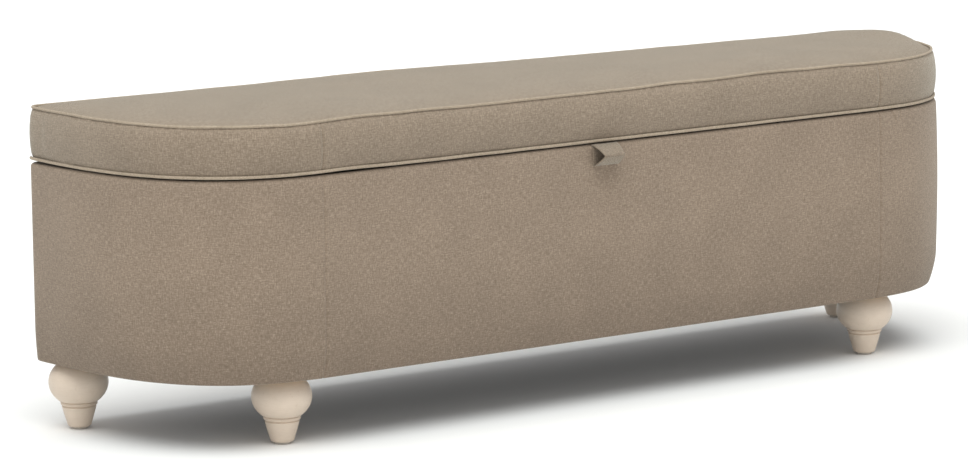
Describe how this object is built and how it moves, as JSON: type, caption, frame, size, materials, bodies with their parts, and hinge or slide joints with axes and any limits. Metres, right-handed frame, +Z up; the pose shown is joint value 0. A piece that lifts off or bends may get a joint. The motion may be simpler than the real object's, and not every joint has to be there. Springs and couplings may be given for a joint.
{
  "type": "storage bench",
  "caption": "Upholstered storage bench with a D-shaped plan, a hinged padded lid with piped edges, folding lid stays and turned legs.",
  "frame": {"origin": "on the floor, at the middle of the overall length and depth, pull tab and hinge barrels included", "axes": "+X along the length towards the right end seen from the front, +Y towards the hinged back, +Z up"},
  "size_m": [1.634, 0.4668, 0.5074],
  "materials": {
    "body_fabric": "matte",
    "seat_fabric": "matte",
    "welt_fabric": "matte",
    "lining_fabric": "matte",
    "dust_cloth": "matte",
    "foam": "matte",
    "plywood": "matte",
    "leg_paint": "satin",
    "steel": "satin",
    "rubber": "matte",
    "glide_plastic": "matte"
  },
  "bodies": {
    "base": {"bottom_panel": "plywood", "front_panel": "plywood", "back_panel": "plywood", "left_end_panel": "plywood", "right_end_panel": "plywood", "front_cover": "body_fabric", "back_cover": "body_fabric", "left_end_cover": "body_fabric", "right_end_cover": "body_fabric", "wall_lining": "lining_fabric", "floor_lining": "lining_fabric", "dust_cover": "dust_cloth", "leg_front_left": "leg_paint", "leg_front_right": "leg_paint", "leg_back_left": "leg_paint", "leg_back_right": "leg_paint", "leg_front_left_glide": "glide_plastic", "leg_front_right_glide": "glide_plastic", "leg_back_left_glide": "glide_plastic", "leg_back_right_glide": "glide_plastic", "leg_front_left_plate": "steel", "leg_front_right_plate": "steel", "leg_back_left_plate": "steel", "leg_back_right_plate": "steel", "leg_front_left_bolt": "steel", "leg_front_right_bolt": "steel", "leg_back_left_bolt": "steel", "leg_back_right_bolt": "steel", "hinge_left_base_leaf": "steel", "hinge_left_pin": "steel", "hinge_centre_base_leaf": "steel", "hinge_centre_pin": "steel", "hinge_right_base_leaf": "steel", "hinge_right_pin": "steel", "lid_bumper_left": "rubber", "lid_bumper_right": "rubber", "stay_left_base_bracket": "steel", "stay_right_base_bracket": "steel"},
    "lid": {"lid_panel": "plywood", "seat_foam": "foam", "seat_cover": "seat_fabric", "front_boxing": "seat_fabric", "back_boxing": "seat_fabric", "left_end_boxing": "seat_fabric", "right_end_boxing": "seat_fabric", "seat_welt": "welt_fabric", "lid_welt": "welt_fabric", "lid_lining": "dust_cloth", "hinge_left_lid_leaf": "steel", "hinge_centre_lid_leaf": "steel", "hinge_right_lid_leaf": "steel", "stay_left_lid_bracket": "steel", "stay_right_lid_bracket": "steel"},
    "pull_tab": {"pull_tab": "seat_fabric"},
    "stay_left_lower": {"stay_left_lower_arm": "steel"},
    "stay_left_upper": {"stay_left_upper_arm": "steel"},
    "stay_right_lower": {"stay_right_lower_arm": "steel"},
    "stay_right_upper": {"stay_right_upper_arm": "steel"}
  },
  "joints": [
    {"name": "lid_hinge", "type": "hinge", "parent": "base", "child": "lid", "pos_m": [0, 0.23025, 0.4165], "axis": [-1, 0, 0], "range_deg": [0, 85]},
    {"name": "stay_left_base_pivot", "type": "hinge", "parent": "base", "child": "stay_left_lower", "pos_m": [-0.6067, 0.18025, 0.2865], "axis": [-1, 0, 0], "range_deg": [0, 85]},
    {"name": "stay_left_elbow", "type": "hinge", "parent": "stay_left_lower", "child": "stay_left_upper", "pos_m": [-0.6044, 0.03025, 0.2725], "axis": [-1, 0, 0], "range_deg": [-85, 0]},
    {"name": "stay_right_base_pivot", "type": "hinge", "parent": "base", "child": "stay_right_lower", "pos_m": [0.6067, 0.18025, 0.2865], "axis": [-1, 0, 0], "range_deg": [0, 85]},
    {"name": "stay_right_elbow", "type": "hinge", "parent": "stay_right_lower", "child": "stay_right_upper", "pos_m": [0.6044, 0.03025, 0.2725], "axis": [-1, 0, 0], "range_deg": [-85, 0]},
    {"name": "pull_tab_flex", "type": "hinge", "parent": "lid", "child": "pull_tab", "pos_m": [-0.018, -0.19575, 0.4165], "axis": [-1, 0, 0], "range_deg": [0, 60], "stiffness_Nm_per_rad": 0.01}
  ],
  "couplings": [
    {"joint": "stay_left_base_pivot", "follows": "lid_hinge", "ratio": 1},
    {"joint": "stay_left_elbow", "follows": "lid_hinge", "ratio": -1},
    {"joint": "stay_right_base_pivot", "follows": "lid_hinge", "ratio": 1},
    {"joint": "stay_right_elbow", "follows": "lid_hinge", "ratio": -1}
  ]
}
